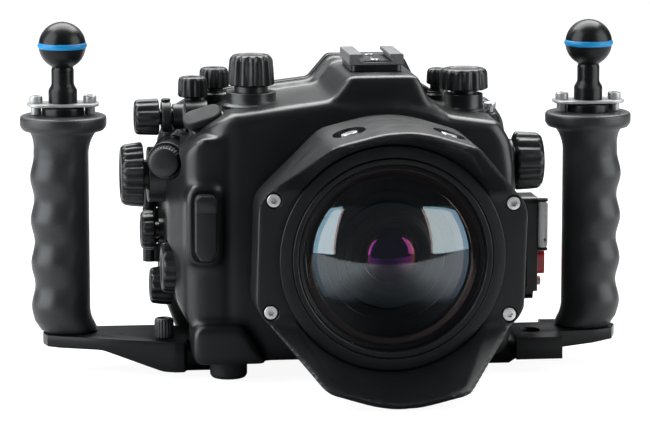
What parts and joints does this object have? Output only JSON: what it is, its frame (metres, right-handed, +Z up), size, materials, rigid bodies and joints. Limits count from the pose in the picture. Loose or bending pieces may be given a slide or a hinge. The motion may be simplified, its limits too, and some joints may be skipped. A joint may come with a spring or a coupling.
{
  "type": "underwater camera housing",
  "caption": "Cast black camera housing with a dome port and petal hood, a hinged rear cover, geared outside controls, an accessory shoe, and two grips on arms with ball mounts.",
  "frame": {"origin": "under the middle of the whole object's box, on the surface that the feet stand on", "axes": "+X to the right as seen from the front, +Y away from the viewer, so the dome port looks along -Y, and +Z up"},
  "size_m": [0.3316, 0.1848, 0.1888],
  "materials": {
    "casing": "soft-sheen black hard coat on cast aluminium",
    "hood": "satin black hard coat",
    "control": "satin black moulded plastic",
    "grip": "matt black moulded rubber",
    "rubber": "matt black rubber",
    "blue_rubber": "smooth blue seal rubber",
    "steel": "bright stainless steel",
    "red": "red moulded plastic",
    "glass": "coated optical glass"
  },
  "bodies": {
    "housing": {"front_casing": "casing", "port_barrel": "casing", "dome_glass": "glass", "glass_ring": "casing", "port_baffle": "control", "inner_lens": "glass", "port_hood": "hood", "hood_screw_1": "steel", "hood_screw_2": "steel", "hood_screw_3": "steel", "hood_screw_4": "steel", "main_seal": "blue_rubber", "hinge_pin": "steel", "latch_base": "casing", "shoe_base": "casing", "shoe_rails": "steel", "front_left_foot": "rubber", "rear_left_foot": "rubber", "front_right_foot": "rubber", "rear_right_foot": "rubber", "camera_tray": "steel", "left_arm": "casing", "right_arm": "casing", "left_grip": "grip", "left_handle_bolt": "steel", "left_ball_mount": "casing", "left_ball_ring": "blue_rubber", "left_clamp_bar": "steel", "right_grip": "grip", "right_handle_bolt": "steel", "right_ball_mount": "casing", "right_ball_ring": "blue_rubber", "right_clamp_bar": "steel"},
    "rear_door": {"rear_cover": "casing", "rear_window": "glass", "viewfinder_glass": "glass", "viewfinder_cup": "rubber"},
    "rear_button_1": {"rear_button_1": "control"},
    "rear_button_2": {"rear_button_2": "control"},
    "rear_button_3": {"rear_button_3": "control"},
    "rear_dial": {"rear_dial": "control"},
    "latch_lever": {"latch_lever": "steel"},
    "latch_lock": {"latch_lock": "red"},
    "mode_knob": {"mode_knob": "control"},
    "record_knob": {"record_knob": "control"},
    "drive_knob": {"drive_knob": "control"},
    "exposure_knob": {"exposure_knob": "control"},
    "review_knob": {"review_knob": "control"},
    "flash_knob": {"flash_knob": "control"},
    "command_wheel": {"command_wheel": "control"},
    "playback_knob": {"playback_knob": "control"},
    "focus_knob": {"focus_knob": "control"},
    "zoom_knob": {"zoom_knob": "control"},
    "control_wheel": {"control_wheel": "control"},
    "front_dial": {"front_dial": "control"},
    "arm_thumb_screw": {"arm_thumb_screw": "control"},
    "power_lever": {"power_lever": "control"},
    "port_release_lever": {"port_release_lever": "control"},
    "shutter_pad": {"shutter_pad": "control"},
    "top_button": {"top_button": "steel"}
  },
  "joints": [
    {"name": "rear_door_hinge", "type": "hinge", "parent": "housing", "child": "rear_door", "pos_m": [-0.0941, 0.07385, 0.077], "axis": [0, 0, 1], "range_deg": [0, 100]},
    {"name": "rear_button_1_press", "type": "slide", "parent": "rear_door", "child": "rear_button_1", "axis": [0, -1, 0], "range_m": [0, 0.002], "stiffness_N_per_m": 300},
    {"name": "rear_button_2_press", "type": "slide", "parent": "rear_door", "child": "rear_button_2", "axis": [0, -1, 0], "range_m": [0, 0.002], "stiffness_N_per_m": 300},
    {"name": "rear_button_3_press", "type": "slide", "parent": "rear_door", "child": "rear_button_3", "axis": [0, -1, 0], "range_m": [0, 0.002], "stiffness_N_per_m": 300},
    {"name": "rear_dial_turn", "type": "hinge", "parent": "rear_door", "child": "rear_dial", "pos_m": [0.072, 0.0831, 0.115], "axis": [0, 1, 0], "continuous": true},
    {"name": "latch_lever_hinge", "type": "hinge", "parent": "housing", "child": "latch_lever", "pos_m": [0.1211, 0.044, 0.0696], "axis": [0, 0, -1], "range_deg": [0, 70]},
    {"name": "latch_lock_press", "type": "slide", "parent": "housing", "child": "latch_lock", "axis": [-1, 0, 0], "range_m": [0, 0.002], "stiffness_N_per_m": 400},
    {"name": "mode_knob_turn", "type": "hinge", "parent": "housing", "child": "mode_knob", "pos_m": [-0.0425, 0.0236, 0.16], "axis": [0, 0, 1], "continuous": true},
    {"name": "record_knob_turn", "type": "hinge", "parent": "housing", "child": "record_knob", "pos_m": [-0.059, 0.0631, 0.1536], "axis": [0, 0, 1], "continuous": true},
    {"name": "drive_knob_turn", "type": "hinge", "parent": "housing", "child": "drive_knob", "pos_m": [-0.0718, 0.0496, 0.15], "axis": [0, 0, 1], "continuous": true},
    {"name": "exposure_knob_turn", "type": "hinge", "parent": "housing", "child": "exposure_knob", "pos_m": [0.075, 0.0356, 0.155], "axis": [0, 0, 1], "continuous": true},
    {"name": "review_knob_turn", "type": "hinge", "parent": "housing", "child": "review_knob", "pos_m": [0.065, 0.0651, 0.153], "axis": [0, 0, 1], "continuous": true},
    {"name": "arm_thumb_screw_turn", "type": "hinge", "parent": "housing", "child": "arm_thumb_screw", "pos_m": [-0.091, 0.0136, 0.025], "axis": [0, 0, 1], "continuous": true},
    {"name": "flash_knob_turn", "type": "hinge", "parent": "housing", "child": "flash_knob", "pos_m": [-0.09, 0.0436, 0.1365], "axis": [-1, 0, 0], "continuous": true},
    {"name": "command_wheel_turn", "type": "hinge", "parent": "housing", "child": "command_wheel", "pos_m": [-0.09, 0.0376, 0.106], "axis": [-1, 0, 0], "continuous": true},
    {"name": "playback_knob_turn", "type": "hinge", "parent": "housing", "child": "playback_knob", "pos_m": [-0.09, 0.0556, 0.0725], "axis": [-1, 0, 0], "continuous": true},
    {"name": "focus_knob_turn", "type": "hinge", "parent": "housing", "child": "focus_knob", "pos_m": [-0.09, 0.0246, 0.057], "axis": [-1, 0, 0], "continuous": true},
    {"name": "zoom_knob_turn", "type": "hinge", "parent": "housing", "child": "zoom_knob", "pos_m": [-0.09, 0.0496, 0.0427], "axis": [-1, 0, 0], "continuous": true},
    {"name": "control_wheel_turn", "type": "hinge", "parent": "housing", "child": "control_wheel", "pos_m": [0.105, 0.0306, 0.111], "axis": [1, 0, 0], "continuous": true},
    {"name": "front_dial_turn", "type": "hinge", "parent": "housing", "child": "front_dial", "pos_m": [-0.0892, 0.0179, 0.116], "axis": [-0.2079, -0.9781, 0], "continuous": true},
    {"name": "power_lever_turn", "type": "hinge", "parent": "housing", "child": "power_lever", "pos_m": [-0.087, 0.0436, 0.1365], "axis": [-1, 0, 0], "range_deg": [0, 45]},
    {"name": "port_release_lever_turn", "type": "hinge", "parent": "housing", "child": "port_release_lever", "pos_m": [-0.0708, -0.0131, 0.0966], "axis": [0, 1, 0], "range_deg": [0, 30]},
    {"name": "shutter_pad_press", "type": "slide", "parent": "housing", "child": "shutter_pad", "axis": [0.3065, 0.4257, -0.8514], "range_m": [0, 0.0016], "stiffness_N_per_m": 500},
    {"name": "top_button_press", "type": "slide", "parent": "housing", "child": "top_button", "axis": [0, 0, -1], "range_m": [0, 0.0015], "stiffness_N_per_m": 300}
  ]
}
